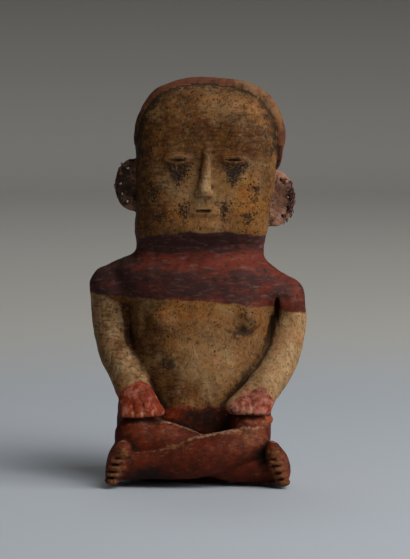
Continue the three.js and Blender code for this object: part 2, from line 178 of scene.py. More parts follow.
# Small forms laid on: centre, half sizes and fillet; on the trunk the breasts, a nipple and webs
# under the arms
TRUNK_LUMPS = [
    ((-24, -18, 113), (9, 8, 9), 6),
    ((34, -16, 114.5), (10, 9.5, 10), 6),
    ((34.5, -25, 115.5), (2.4, 2, 2.4), 1.5),
    ((-50, 7, 106), (6, 9, 22), 4),
    ((51.5, 12, 107), (6, 8, 19), 4),
]
ELBOW_LUMP = [((64.5, 1, 88), (5, 6, 5), 4)]
KNEE_LUMP = [((48.5, -27, 45), (3.2, 3.2, 3.2), 2)]
SHIN_LUMP = [((32, -48.5, 32.5), (2.8, 2.6, 2.4), 1.5)]
# Hollows cut out, in the same columns: two down the middle of the back, one in the armpit
BACK_HOLLOWS = [((-2, 60, 22), (2.2, 7, 22), 9), ((-1, 50, 95), (4, 5.5, 45), 9)]
ARMPIT = [((54.8, -7, 117), (2.0, 10, 10), 3.0)]

# Fillets; LEG_FILLETS of the back shin, feet and front shin; ARM_FILLET by height; FILLETS of the
# hands, legs, face, ears and cap
SHOULDER_FILLET = 4
TRUNK_FILLET = 6
LEG_FILLETS = (4, 2, 1.2)
ARM_FILLET = [(70, 5), (96, 5), (112, 3.5), (132, 9)]
FILLETS = (2.5, 1.5, 2.5, 2, 0.6)
TOE_FILLET, RIM_FILLET, NOSE_FILLET = 2, 2, 2.5
# Lips where one form is cut by another
TOE_LIP, PALM_LIP, FINGER_LIP, DISH_LIP, HOLE_LIP, CAP_LIP, RIM_LIP = 1.2, 3.2, 0.7, 3, 0.3, 1.5, 3

# Boxes that hold the head and the trunk, and the room left about them
HEAD_BOX = [(-50, -40, 160), (65, 52, 285)]
TRUNK_BOX = [(-62, -36, -8), (62, 62, 178)]
ROOM = 8

# Grid lines of the net: where they start, then each run's end and spacing
GRID_X = (-77, (-69, 1.2), (-46, 0.8), (20, 1.4), (42, 1.0), (49, 1.3), (69, 0.8), (77, 1.2))
GRID_Y = (-61, (-32, 1.1), (-20, 1.0), (12, 1.4), (60.5, 2.4))
GRID_Z = (-1.5, (72, 1.05), (174, 1.9), (226, 0.95), (238, 1.1), (283, 1.6))
# Waves of the relief: length, share of its height, seed
RELIEF_WAVES = [(26, 1, 3), (9, 0.45, 4), (3.5, 0.18, 5)]

# Face, set out from the head's own height and width: eyes at half height, nose to three quarters
CHIN_Z = 171
CROWN_Z = 277
FACE_HEIGHT = CROWN_Z - CHIN_Z
FACE_WIDTH = 97
EYE_Z = CROWN_Z - FACE_HEIGHT / 2
NOSE_Z = CROWN_Z - FACE_HEIGHT * 0.75
MOUTH_Z = NOSE_Z - (NOSE_Z - CHIN_Z) / 3
EYE_WIDTH = FACE_WIDTH / 5

ALONG_X, ALONG_Y, ALONG_Z = np.eye(3)
FAR = 60.0
LOFT_HEIGHTS = 600
BEADS_A_SPAN = 4
SLABS = 12
LEAST_STEEP = 0.05
TINY = 1e-9


# Signed distances of single forms

def cubic_through(knots, values, at):
    """The cubic curve that passes each value at its knot with the slope of its neighbours."""
    slopes = np.gradient(values, knots, axis=0)
    i = np.clip(np.searchsorted(knots, at, side="right") - 1, 0, len(knots) - 2)
    gap = (knots[i + 1] - knots[i])[:, None]
    s = (at - knots[i])[:, None] / gap
    start = (1 + 2 * s) * (1 - s) ** 2 * values[i] + s * (1 - s) ** 2 * gap * slopes[i]
    end = s * s * (3 - 2 * s) * values[i + 1] - s * s * (1 - s) * gap * slopes[i + 1]
    return start + end


def loft_distance(stations, p, dome=None):
    """Superelliptic rings, r = (|u|^n + |v|^n)^(1/n), less one, over the slope of r. A dome of
    foot, height and power m closes them as (r^m + w^m)^(1/m), w being the share of its height."""
    rows = np.array(stations, float)
    heights = np.linspace(rows[0, 0], rows[-1, 0], LOFT_HEIGHTS)
    columns = cubic_through(rows[:, 0], rows[:, 1:], heights)

    def ring(z):
        middle, half, front, back, n = (np.interp(z, heights, c) for c in columns.T)
        deep = (back - front) / 2
        u = np.abs(p[0] - middle) / half + TINY
        v = np.abs(p[1] - (front + back) / 2) / deep + TINY
        return u, v, half, deep, n, (u ** n + v ** n) ** (1 / n)

    u, v, half, deep, n, r = ring(p[2])
    step = 0.5
    rise = (ring(p[2] + step)[-1] - ring(p[2] - step)[-1]) / (2 * step)
    slope = np.sqrt(((u / r) ** (n - 1) / half) ** 2 + ((v / r) ** (n - 1) / deep) ** 2 + rise ** 2)
    if dome is None:
        return np.maximum((r - 1) / slope, p[2] - rows[-1, 0])
    foot, height, m = dome
    w = np.maximum(p[2] - foot, 0) / height + TINY
    closed = (r ** m + w ** m) ** (1 / m)
    slope = np.hypot((r / closed) ** (m - 1) * slope, (w / closed) ** (m - 1) / height)
    return np.maximum((closed - 1) / slope, rows[0, 0] - p[2])


def melt(a, b, width):
    """Two forms pressed together: the nearer one, with a fillet about as wide as given."""
    blend = np.maximum(width - np.abs(a - b), 0) / width
    return np.minimum(a, b) - blend ** 3 * width / 6


def carve(a, b, width):
    """Form a with form b cut out of it, the lip rounded over the given width."""
    return -melt(-a, b, width)


def near(p, points, pad, distance):
    """A form's distance at the points inside its box grown by pad, and FAR at the others."""
    low = np.min(points, axis=0)[:3] - pad
    high = np.max(points, axis=0)[:3] + pad
    close = np.all((p > low[:, None]) & (p < high[:, None]), axis=0)
    out = np.full(p.shape[1], FAR)
    if close.any():
        out[close] = distance(p[:, close])
    return out


def egg(p, centre, half, pad=12):
    """An ellipsoid: |q| (|q| - 1) / |q / half|, where q is the offset over the half sizes."""
    centre, half = np.array((centre, half), float)

    def distance(close):
        q = (close - centre[:, None]) / half[:, None]
        k = np.sqrt((q ** 2).sum(0)) + TINY
        return k * (k - 1) / (np.sqrt(((q / half[:, None]) ** 2).sum(0)) + TINY)

    return near(p, [centre - half, centre + half], pad, distance)


def limb(p, points, across, pad=10):
    """Capsules of elliptical section strung along a smooth path; the nearest capsule counts."""
    rows = np.array(points, float)
    knots = np.arange(len(rows), dtype=float)
    stops = np.linspace(0, knots[-1], BEADS_A_SPAN * (len(rows) - 1) + 1)
    beads = cubic_through(knots, rows, stops)

    def distance(close):
        best = np.full(close.shape[1], FAR)
        for a, b in zip(beads[:-1], beads[1:]):
            length = np.linalg.norm(b[:3] - a[:3])
            axis = (b[:3] - a[:3]) / length
            side = across - across.dot(axis) * axis
            side /= np.linalg.norm(side)
            third = np.cross(axis, side)
            q = close - a[:3, None]
            along = axis @ q
            t = np.clip(along / length, 0, 1)
            wide, thick = a[3:, None] + t * (b - a)[3:, None]
            slim = np.minimum(wide, thick)
            s, h, e = side @ q / wide, third @ q / thick, (along - t * length) / slim
            k = np.sqrt(s * s + h * h + e * e) + TINY
            slope = np.sqrt((s / wide) ** 2 + (h / thick) ** 2 + (e / slim) ** 2) / k + TINY
            best = np.minimum(best, (k - 1) / slope)
        return best

    return near(p, rows, pad + rows[:, 3:].max(), distance)


def with_eggs(p, form, eggs, join=melt):
    """A form with ellipsoids melted on or carved out: each a centre, half sizes and a fillet."""
    for centre, half, fillet in eggs:
        form = join(form, egg(p, centre, half), fillet)
    return form


# The figure's forms joined

def face_axis(height):
    """The middle of the face at one height: x, and the y of the head's front."""
    rows = np.array(HEAD, float)
    middle, _, front, _, _ = cubic_through(rows[:, 0], rows[:, 1:], np.array([float(height)]))[0]
    return middle, front


def foot_form(p, points, lean):
    """A slab on edge whose front is parted into blunt toes by level grooves, the largest on top."""
    across = np.array((np.cos(lean), 0, np.sin(lean)))
    form = limb(p, points, across)
    _, _, middle, wide, high = points[-1]
    toes = toe_blocks(points, lean)
    for toe, half in toes:
        level = (toe[2] - middle) / (high + 1)
        size = (wide * TOE_WIDE * np.sqrt(1 - level ** 2), TOE_DEEP, half * TOE_HIGH)
        form = melt(form, egg(p, toe, size), TOE_FILLET)
    for (upper, half), (toe, _) in zip(toes, toes[1:]):
        gap = upper - half * (upper - toe) / np.linalg.norm(upper - toe)
        form = carve(form, egg(p, gap - TOE_GAP_SHIFT, TOE_GAP_HALF), TOE_LIP)
    return form


def toe_blocks(points, lean):
    """Each toe's middle and half height, from the largest on top to the smallest."""
    up = np.array((-np.sin(lean), 0, np.cos(lean)))
    tip = np.array(points[-1][:3], float) - (0, TOE_REACH, 0)
    tops = np.array(TOE_TOPS) * TOE_SPREAD
    return [(tip + (top + foot) / 2 * up, (top - foot) / 2) for top, foot in zip(tops, tops[1:])]


def finger_grooves(grooves):
    """The middle of each groove between two fingers."""
    (x, y, z), rise, spacing = grooves
    steps = (np.arange(FINGER_COUNT - 1) - (FINGER_COUNT - 2) / 2) * spacing
    return [(x + step, y, z + step * rise) for step in steps]


def hand_form(p, points, grooves):
    """A flat palm laid over the knee, cut straight across and grooved into fingers."""
    lower_edge = grooves[0][2] - FINGER_LENGTH
    form = carve(limb(p, points, ALONG_X), p[2] - lower_edge, PALM_LIP)
    for x, y, z in finger_grooves(grooves):
        course = [(x, y + back, z + up, half, deep) for back, up, half, deep in GROOVE_COURSE]
        form = carve(form, limb(p, course, ALONG_X, 5), FINGER_LIP)
    return form


def ear_form(p, ear):
    """A disc on edge, less a dish in its front and less the small holes along its rim."""
    (x, y, z), (wide, deep, high), _ = ear
    form = egg(p, (x, y, z), (wide, deep, high))
    dish = egg(p, (x, y - deep, z), (wide * EAR_DISH, deep * EAR_DISH, high * EAR_DISH))
    form = carve(form, dish, DISH_LIP)
    for hole_x, hole_z in ear_holes(ear):
        fallen = p[2] - hole_z + EAR_HOLE_FALL * (p[1] - y)
        hole = np.hypot(p[0] - hole_x, fallen) - EAR_HOLE_RADIUS
        form = np.where(form < FAR / 2, carve(form, hole, HOLE_LIP), form)
    return form


def ear_holes(ear):
    """The x and z of each hole, spread over an arc of the ear's outer edge."""
    (x, _, z), (wide, _, high), outward = ear
    wide, high = wide * EAR_HOLE_RING, high * EAR_HOLE_RING
    return [(x + outward * wide * np.cos(t), z + high * np.sin(t)) for t in EAR_HOLE_TURNS]


def cap_form(p):
    """The head grown by the cap's thickness behind the rim and above the nape, and the roll."""
    head = head_form(p - np.array((CAP_SHIFT, 0, 0))[:, None])
    behind = CAP_RIM_Y - p[1]
    drop = np.cos(CAP_NAPE_DROP) * (CAP_RIM_Z - p[2]) - np.sin(CAP_NAPE_DROP) * (p[1] - CAP_RIM_Y)
    coat = carve(head - CAP_THICKNESS, -np.maximum(behind, drop), CAP_LIP)
    roll = carve(np.hypot(head, behind) - CAP_RIM_RADIUS, p[2] - CAP_RIM_Z, RIM_LIP)
    return melt(coat, roll, RIM_FILLET)


def head_form(p):
    """The head as a domed loft, with no face yet."""
    return near(p, HEAD_BOX, ROOM, lambda q: loft_distance(HEAD, q, DOME))


def face_form(p, head):
    """Low lids with a slit, a straight nose, lips with a slit and a low chin on the head."""
    (eye_x, eye_y), (nose_x, nose_y), (mouth_x, mouth_y) = map(face_axis, (EYE_Z, NOSE_Z, MOUTH_Z))
    for side in (-1, 1):
        x = eye_x + side * EYE_WIDTH
        socket = ((x, eye_y - 3.2, EYE_Z - 1), (15, 4, 10), 5)
        lid = ((x, eye_y + 1.6, EYE_Z), (EYE_WIDTH * 0.55, 3.4, 4.4), 1.6)
        slit = ((x, eye_y - 2.2, EYE_Z - 0.5), (EYE_WIDTH * 0.46, 2.6, 0.7), 0.8)
        head = with_eggs(p, with_eggs(p, head, [socket], carve), [lid])
        head = with_eggs(p, head, [slit], carve)
    bridge = [(eye_x, eye_y - 0.2, EYE_Z + 6, 2.6, 2.2), (eye_x, eye_y - 1.5, EYE_Z - 4, 3, 3),
              (nose_x, nose_y - 2.6, NOSE_Z + 5, 4.2, 4.6)]
    wings = [((nose_x + x, nose_y - 0.4, NOSE_Z + 3.4), (2.8, 2.8, 2.8), 2) for x in (-4.2, 4.2)]
    lips = ((mouth_x, mouth_y + 1.2, MOUTH_Z), (EYE_WIDTH * 0.6, 3, 4.6), 2)
    parting = ((mouth_x, mouth_y - 2.2, MOUTH_Z), (EYE_WIDTH * 0.5, 2.6, 0.75), 0.8)
    chin = ((mouth_x, mouth_y + 2.5, CHIN_Z + 6), (17, 4.5, 7), 5)
    head = melt(head, limb(p, bridge, ALONG_X), NOSE_FILLET)
    head = with_eggs(p, with_eggs(p, head, [*wings, lips]), [parting], carve)
    return with_eggs(p, head, [chin])


def clay(p):
    """Signed distances of the whole figure and of its regions, at points p (3 by N)."""
    cap = cap_form(p)
    face = face_form(p, head_form(p))
    trunk = near(p, TRUNK_BOX, ROOM, lambda q: loft_distance(TRUNK, q))
    trunk = with_eggs(p, with_eggs(p, trunk, TRUNK_LUMPS), BACK_HOLLOWS, carve)
    shoulders = [limb(p, shoulder, ALONG_Y) for shoulder in (LEFT_SHOULDER, RIGHT_SHOULDER)]
    shoulders = melt(*shoulders, SHOULDER_FILLET)
    arms = np.minimum(*(limb(p, arm, ALONG_X) for arm in (LEFT_ARM, RIGHT_ARM)))
    arms = with_eggs(p, arms, ELBOW_LUMP)
    hands = np.minimum(*(hand_form(p, *hand) for hand in HANDS))
    thighs = np.minimum(*(limb(p, thigh, ALONG_X) for thigh in (LEFT_THIGH, RIGHT_THIGH)))
    thighs = with_eggs(p, thighs, KNEE_LUMP)
    front_shin = with_eggs(p, limb(p, FRONT_SHIN, ALONG_Z), SHIN_LUMP)
    feet = np.minimum(*(foot_form(p, *foot) for foot in FEET))
    ears = np.minimum(*(ear_form(p, ear) for ear in (LEFT_EAR, RIGHT_EAR)))

    legs = thighs
    for form, fillet in zip((limb(p, BACK_SHIN, ALONG_Z), feet, front_shin), LEG_FILLETS):
        legs = melt(legs, form, fillet)
    whole = melt(trunk, shoulders, TRUNK_FILLET)
    whole = melt(whole, arms, np.interp(p[2], *np.transpose(ARM_FILLET)))
    whole = with_eggs(p, whole, ARMPIT, carve)
    for form, fillet in zip((hands, legs, face, ears, cap), FILLETS):
        whole = melt(whole, form, fillet)
    whole = np.maximum(whole, -p[2])
    return whole, (face, cap, ears, np.minimum(trunk, shoulders), arms, hands, legs)


# Laying a surface on the signed distances

def spaced(start, *runs):
    """Grid lines: each run is (end, step), starting where the one before it ends."""
    lines = [[start]]
    for end, step in runs:
        lines.append(np.linspace(start, end, round((end - start) / step) + 1)[1:])
        start = end
    return np.concatenate(lines)


def sample_grid(xs, ys, zs):
    """The signed distance at every crossing of the grid lines, one slab of heights at a time."""
    slabs = []
    for some in np.array_split(zs, SLABS):
        slab = np.meshgrid(xs, ys, some, indexing="ij")
        values = clay(np.stack([axis.ravel() for axis in slab]))[0]
        slabs.append(values.reshape(slab[0].shape).astype(np.float32))
    return np.concatenate(slabs, axis=2)


def surface_net(field, lines):
    """One point in each cell that the surface crosses, at the mean of the crossings of its edges,
    and one square round each grid edge that it crosses, facing from the inside out."""
    inside = field < 0
    cell_shape = tuple(n - 1 for n in field.shape)
    corners = np.array([(i, j, k) for i in (0, 1) for j in (0, 1) for k in (0, 1)])
    filled = np.zeros(cell_shape, np.uint8)
    for c in corners:
        filled += inside[tuple(slice(o, o + n) for o, n in zip(c, cell_shape))]
    cells = np.argwhere((filled > 0) & (filled < len(corners)))
    total = np.zeros((len(cells), 3))
    count = np.zeros(len(cells))
    for axis in range(3):
        for c in corners[corners[:, axis] == 0]:
            low = cells + c
            a, b = (field[tuple(end.T)] for end in (low, low + np.eye(3, dtype=int)[axis]))
            crossed = (a < 0) != (b < 0)
            place = low.astype(float)
            place[crossed, axis] += a[crossed] / (a[crossed] - b[crossed])
            total[crossed] += place[crossed]
            count += crossed
    places = total / count[:, None]
    points = np.stack([
        np.interp(place, np.arange(len(line)), line) for place, line in zip(places.T, lines)])

    number = np.full(cell_shape, -1, np.int64)
    number[tuple(cells.T)] = np.arange(len(cells))
    squares = []
    for axis in range(3):
        edges = np.argwhere(np.diff(inside, axis=axis))
        round_edge = np.zeros((4, 3), int)
        round_edge[:, (axis + 1) % 3] = (-1, 0, 0, -1)
        round_edge[:, (axis + 2) % 3] = (-1, -1, 0, 0)
        ring = number[tuple(np.moveaxis(edges[:, None] + round_edge, 2, 0))]
        starts_inside = inside[tuple(edges.T)]
        squares.append(np.where(starts_inside[:, None], ring, ring[:, ::-1]))
    return points, np.concatenate(squares)


def slope_at(p, step=0.25):
    """The distance at each point and its slope, from samples at a small tetrahedron's corners."""
    corners = np.array(((1, -1, -1), (-1, -1, 1), (-1, 1, -1), (1, 1, 1)), float)
    values = [clay(p + step * c[:, None])[0] for c in corners]
    slope = sum(c[:, None] * value for c, value in zip(corners, values)) / (4 * step)
    return sum(values) / 4, slope


def settle(p, rounds, reach):
    """Points moved along the slope until they lie on the surface, at most reach each round."""
    for _ in range(rounds):
        value, slope = slope_at(p)
        steep = np.maximum((slope ** 2).sum(0), LEAST_STEEP)
        p = p - slope * np.clip(value / steep, -reach, reach)
    return p


def ripple(p, size, seed, waves=20):
    """A smooth random wave of about unit height: plane waves of about one length, summed."""
    rng = np.random.default_rng(seed)
    directions = rng.normal(size=(waves, 3))
    directions /= np.linalg.norm(directions, axis=1)[:, None]
    lengths = size * rng.uniform(0.7, 1.5, waves)
    phases = rng.uniform(0, 2 * np.pi, waves)
    total = sum(np.sin(direction @ p * (2 * np.pi / length) + phase)
                for direction, length, phase in zip(directions, lengths, phases))
    return total / np.sqrt(waves / 2)


# Where each slip, stain and worn place lies, as attributes of the surface

# Stains of smoke and grave soil, with painted shade on the figure's left and under the rim;
# blooms of orange iron; brown places, with painted shade on the left; golden, dusty and limed
# places; pale places, partly painted highlight: centre x y z, half sizes
SPOTS = {
    "smoke": [
        (31, -26, 105, 12, 14, 7), (-44, 2, 150, 18, 22, 9), (-33, -52, 9, 19, 16, 9),
        (-50, 0, 242, 20, 34, 34), (-46, -22, 205, 10, 12, 26), (-54, 2, 205, 12, 14, 24),
        (-14, -29, 267, 18, 12, 5), (-20, -28, 84, 7, 10, 6), (6, -32, 45, 24, 14, 10),
        (66, 0, 194, 5, 10, 18), (45, -44, 22, 9, 12, 8), (20, 45, 70, 24, 24, 18),
        (-30, 38, 30, 20, 20, 22),
    ],
    "iron": [
        (-6, -28, 118, 26, 12, 6), (46, -18, 126, 12, 12, 4), (-16, -30, 236, 16, 12, 8),
        (34, -28, 190, 14, 14, 18), (-26, -28, 188, 18, 14, 14), (56, -2, 252, 8, 14, 20),
        (60, -6, 84, 10, 12, 10), (10, 44, 120, 30, 20, 20), (34, -46, 34, 18, 12, 12),
        (56, -50, 16, 10, 12, 18), (-56, -50, 16, 10, 12, 18), (42, -34, 42, 12, 14, 8),
        (-26, -36, 38, 16, 12, 7), (4, -36, 66, 30, 14, 9),
    ],
    "brown": [
        (2, -28, 240, 60, 26, 24), (-38, -20, 205, 24, 28, 46), (-42, -24, 246, 17, 20, 26),
        (-50, -5, 95, 14, 22, 34), (-30, -28, 66, 26, 14, 16), (-36, -24, 96, 14, 14, 26),
        (-62, -2, 104, 12, 16, 30),
    ],
    "gold": [
        (36, -26, 196, 20, 18, 26), (-28, -28, 188, 20, 16, 16), (0, -30, 122, 46, 14, 8),
        (-60, 0, 100, 6, 14, 20), (68, 0, 98, 8, 14, 24),
    ],
    "dusty": [
        (33, -43, 36, 15, 12, 8), (-12, -50, 29, 16, 10, 5), (40, -28, 52, 12, 12, 4),
        (38, -42, 46, 14, 10, 3), (-42, -42, 44, 16, 10, 3),
    ],
    "limed": [(37, -44, 41, 15, 9, 1.8)],
    "pale": [(3, -36, 202, 24, 16, 18)],
    "half_pale": [(6, -34, 80, 42, 18, 32), (6, -28, 260, 26, 14, 6)],
}
# Edges of the slips, height + bow (x - middle)^2: height, bow, middle
JAW_EDGE = (174, -0.0022, 6)
LEFT_CUFF = (72.5, -0.05, -41.5)
RIGHT_CUFF = (69, -0.05, 39)
LAP_EDGE = (53, 0.003, 0)
# The yoke's lower edge as x and height, and its dark bands as height and share; the top two
# rows, on the neck, are dark slip and painted shadow under the jaw
YOKE_EDGE = [(-75, 129), (-45, 128), (5, 126.5), (44, 122), (75, 115.5)]
DARK_BANDS_AND_JAW_SHADE = [
    (122, 0.4), (128, 0.8), (134, 1.2), (145, 1.1), (150, 0.5), (157, 0.4), (162, 1.4), (170, 1.7)]
# How deep in the clay edges are felt for, and how far out of it hollows are
DEPTHS = (2.0, 5.0)
REACHES = (2.0, 5.0, 10.0)
# Painted triangles on each half of the face: corners by distance from its middle and height
FACE_TRIANGLES = [
    [(EYE_WIDTH * 0.45, EYE_Z - 3), (EYE_WIDTH * 0.95, EYE_Z - 21), (EYE_WIDTH * 1.6, EYE_Z - 3)],
    [(8, NOSE_Z - 3), (13, MOUTH_Z - 11), (21, NOSE_Z - 2)],
    [(24, MOUTH_Z - 1), (30, MOUTH_Z - 12), (37, MOUTH_Z - 1)],
    [(30, NOSE_Z + 9), (35, NOSE_Z - 5), (40, NOSE_Z + 9)],
]
FACE_LEAN = 0.04
FACE_DEPTH = 14
PAINT_REACH = 10


def triangle_inside(x, z, corners):
    """How far inside a triangle in the plane of the face a point is, by its nearest side."""
    sides = zip(corners, corners[1:] + corners[:1])
    return np.min([((c - a) * (z - b) - (d - b) * (x - a)) / np.hypot(c - a, d - b)
                   for (a, b), (c, d) in sides], axis=0)


def face_paint(p):
    """Worn dark triangles under the eyes and about the mouth: how far inside them, as a share."""
    middle, front = face_axis(EYE_Z)
    x = p[0] - middle + (EYE_Z - p[2]) * FACE_LEAN
    marks = [triangle_inside(side * x, p[2], mark) for side in (-1, 1) for mark in FACE_TRIANGLES]
    inside = np.where(p[1] < front + FACE_DEPTH, np.max(marks, axis=0), -FAR)
    return np.clip(inside / PAINT_REACH, -1, 1)


def blot(p, spots):
    """The largest of exp(-|q|^2) over the spots, where q is the offset over a spot's half sizes."""
    rows = np.array(spots, float)[:, :, None]
    return np.max([np.exp(-(((p - row[:3]) / row[3:]) ** 2).sum(0)) for row in rows], axis=0)


def fade(value, start, end):
    """Rises from 0 at the start to 1 at the end, in a straight line."""
    return np.clip((value - start) / (end - start), 0, 1)


def bowed(x, edge):
    """A slip's edge: its height plus its bow times the square of the way from its middle."""
    height, bow, middle = edge
    return height + bow * (x - middle) ** 2


def finish_zones(p, normals):
    """Millimetres inside each slip's zone, and shares of wear, soil, smoke and iron, with painted
    shade and painted highlight among them.
    """
    _, (face, cap, ears, trunk, arms, hands, legs) = clay(p)
    x, y, z = p
    wobble = ripple(p, 15, 11)
    limbs = np.minimum(arms, hands)
    body = np.minimum(trunk, legs)
    shell = np.minimum(cap, ears)
    spots = {name: blot(p, places) for name, places in SPOTS.items()}

    low_edge = np.interp(x, *np.transpose(YOKE_EDGE))
    yoke = np.minimum(z - low_edge, bowed(x, JAW_EDGE) - z) + 0.5 * wobble
    cuff = np.where(x < 0, bowed(x, LEFT_CUFF), bowed(x, RIGHT_CUFF)) - z + 1.5 * wobble
    hand = np.where(limbs < body, cuff, -FAR)
    lap = np.where(limbs < body, -FAR, bowed(x, LAP_EDGE) - z + 1.5 * wobble)
    cap_slip = np.minimum(face, ears) - cap

    # Painted highlight on the shoulders' upturned ledge in front of the neck
    ledge_highlight = np.exp(-((z - 152 - 0.04 * x) / 4.5) ** 2 - ((x - 12) / 34) ** 2) * fade(y, 0, -10)
    band = np.interp(z, *np.transpose(DARK_BANDS_AND_JAW_SHADE))
    # The bands are also thinner towards +x and deeper towards -x
    band = band - 0.9 * ledge_highlight - 0.55 * fade(x, 20, 50) + 0.2 * fade(x, -24, -54)

    thin = sum(clay(p - depth * normals)[0] / -depth for depth in DEPTHS) / len(DEPTHS)
    open_air = sum(clay(p + reach * normals)[0] / reach for reach in REACHES) / len(REACHES)
    edge = np.clip(1 - thin, 0, 1) * np.where(ears < 1, 0.3, 1)
    # Hollows, creases and gaps between parts, darkened by their wash: soil and painted shade
    soil = np.clip(1 - open_air, 0, 1)
    on_legs = fade(body - legs, -1, 0) * fade(trunk - legs, 0, 1)
    crest = fade(normals[2], 0.80, 0.94) * on_legs * fade(y, -26, -34)
    # Paler on the arms and hands, less on the left: burnished cream and painted highlight
    pale = fade(body - limbs, 0, 1) * np.where(x < 0, np.where(hand > 0, 0.45, 0.8), 0.95)
    pale = np.max([pale, 0.9 * spots["pale"], 0.6 * spots["half_pale"]], axis=0)
    slipped = (yoke > 0) | (np.maximum(hand, lap) > 0) | (cap_slip > 0)
    grooves = [groove for _, row in HANDS for groove in finger_grooves(row)]
    toes = [toe for foot in FEET for toe in toe_blocks(*foot)]
    limed = blot(p, [(a, b + 1, c + 1, 1.5, 4, 5.5) for a, b, c in grooves])
    trodden = blot(p, [(a, b - 4, c, 6, 5, half) for (a, b, c), half in toes])
    return {
        "yoke": yoke,
        "red_slip": np.maximum(hand, lap),
        "cap_slip": cap_slip,
        "ear_slip": np.minimum(face, cap) - ears,
        "dark_band": band,
        "face_paint": face_paint(p),
        # Painted shade, rising towards the floor below a height of 50 mm
        "low": fade(z, 50, 36),
        "pale": pale,
        "smooth": np.maximum(pale, 0.9 * slipped),
        # Painted shadow and stain on the forehead under the cap's rim
        "under_rim": np.exp(-shell / 4.5) * (shell > 0.4) * (y < -3) * (z > 225),
        "wear": edge * (1 - 0.8 * soil) + 0.4 * crest + 0.15 * trodden + 0.7 * spots["dusty"],
        "lime": np.max([limed, 0.72 * crest, 0.8 * spots["limed"]], axis=0),
        "toes": trodden,
        # Soil and painted shade in hollows, creases and between parts
        "soil": soil,
        # Paler upper right of the cap: worn slip and painted highlight
        "worn_cap": fade(x, 18, 32) * fade(z, 236, 256),
        **{name: spots[name] for name in ("smoke", "iron", "brown", "gold")},
    }


def write_mesh(name, points, faces, attributes=None):
    """A mesh object from points in millimetres (3 by N), faces of one size and point attributes."""
    mesh = bpy.data.meshes.new(name)
    mesh.from_pydata((points.T * MM).tolist(), [], faces.tolist(), shade_flat=False)
    for key, values in (attributes or {}).items():
        attribute = mesh.attributes.new(key, "FLOAT", "POINT")
        attribute.data.foreach_set("value", values.astype(np.float32))
    mesh.validate()
    piece = bpy.data.objects.new(name, mesh)
    bpy.context.scene.collection.objects.link(piece)
    return piece


def ring_squares(rings, sides):
    """The squares that join each ring of points to the next one, all the way round."""
    i, j = np.meshgrid(np.arange(rings - 1), np.arange(sides), indexing="ij")
    k = (j + 1) % sides
    this, following = i * sides, (i + 1) * sides
    return np.stack([this + j, this + k, following + k, following + j], axis=-1).reshape(-1, 4)


def make_figure(settings):
    """The figure's surface: a net over the signed distances, settled on them, then given relief."""
    lines = [spaced(*runs) for runs in (GRID_X, GRID_Y, GRID_Z)]
    points, squares = surface_net(sample_grid(*lines), lines)
    points = settle(points, 2, 0.8)
    _, slope = slope_at(points)
    normals = slope / np.maximum(np.sqrt((slope ** 2).sum(0)), TINY)
    relief = sum(share * ripple(points, size, seed) for size, share, seed in RELIEF_WAVES)
    lifted = points[2] > 1
    attributes = finish_zones(points, normals)
    points = points + normals * (relief * settings.relief / MM * lifted)
    points[2] = np.maximum(points[2], 0)
    return write_mesh("earthenware_figure", points, squares, attributes)


def tube(path, radius, skew=(0.31, 0.87, 0.38)):
    """Rings along a path, centre + radius (cos a side + sin a up), drawn in to a point at its ends;
    side is square to the path and to the skew direction."""
    along = np.gradient(path, axis=1)
    along /= np.linalg.norm(along, axis=0)
    side = np.cross(along, np.array(skew), axisa=0, axisb=0, axisc=0)
    side /= np.linalg.norm(side, axis=0)
    up = np.cross(along, side, axis=0)
    width = radius * np.sqrt(1 - np.linspace(-1, 1, path.shape[1]) ** 12)
    a = np.linspace(0, 2 * np.pi, TUBE_SIDES, endpoint=False)
    ring = side[:, :, None] * np.cos(a) + up[:, :, None] * np.sin(a)
    return (path[:, :, None] + ring * width[:, None]).reshape(3, -1)


def make_fibres(settings):
    """Dried rootlets caught in the ear holes: hoops round the rim, (a (1 - cos t), b sin t), and
    loose strands that wave along it from hole to hole."""
    rng = np.random.default_rng(21)
    strands = []
    t = np.linspace(0, 1, STRAND_RINGS)
    for ear, hoops, strays in FIBRES:
        (cx, cy, cz), (wide, deep, high), outward = ear
        paths = []
        for hole_x, hole_z in ear_holes(ear):
            for _ in range(hoops):
                reach = rng.uniform(1.6, 2.4)
                turn = 2 * np.pi * t * rng.uniform(0.7, 0.98) + rng.uniform(-0.6, 0.6)
                lean = rng.uniform(-0.7, 0.7)
                paths.append(np.stack([
                    hole_x + outward * reach * (1 - np.cos(turn)),
                    cy - 1 + (deep * 0.5 + 1.2) * np.sin(turn),
                    hole_z + lean * reach * (1 - np.cos(turn)) + 0.5 * np.sin(3 * turn),
                ]))
        for _ in range(strays):
            start = rng.uniform(-0.55, 0.2)
            angle = STRAY_ARC * (start + rng.uniform(0.25, 0.5) * t)
            swing = rng.uniform(0, 2 * np.pi)
            ring = 0.9 + 0.12 * np.sin(7 * angle + swing) + 0.03 * np.sin(19 * t + swing)
            paths.append(np.stack([
                cx + outward * wide * ring * np.cos(angle),
                cy - deep * (0.45 + 0.5 * np.sin(9 * t + swing)),
                cz + high * ring * np.sin(angle),
            ]))
        thickness = settings.fibre_thickness / MM
        strands += [tube(path, rng.uniform(0.4, 0.6) * thickness) for path in paths]
    first = np.arange(len(strands)) * STRAND_RINGS * TUBE_SIDES
    faces = ring_squares(STRAND_RINGS, TUBE_SIDES) + first[:, None, None]
    piece = write_mesh("rim_fibres", np.concatenate(strands, axis=1), faces.reshape(-1, 4))
    shape = bmesh.new()
    shape.from_mesh(piece.data)
    bmesh.ops.remove_doubles(shape, verts=shape.verts, dist=1e-6)
    bmesh.ops.recalc_face_normals(shape, faces=shape.faces)
    shape.to_mesh(piece.data)
    shape.free()
    return piece


# Materials

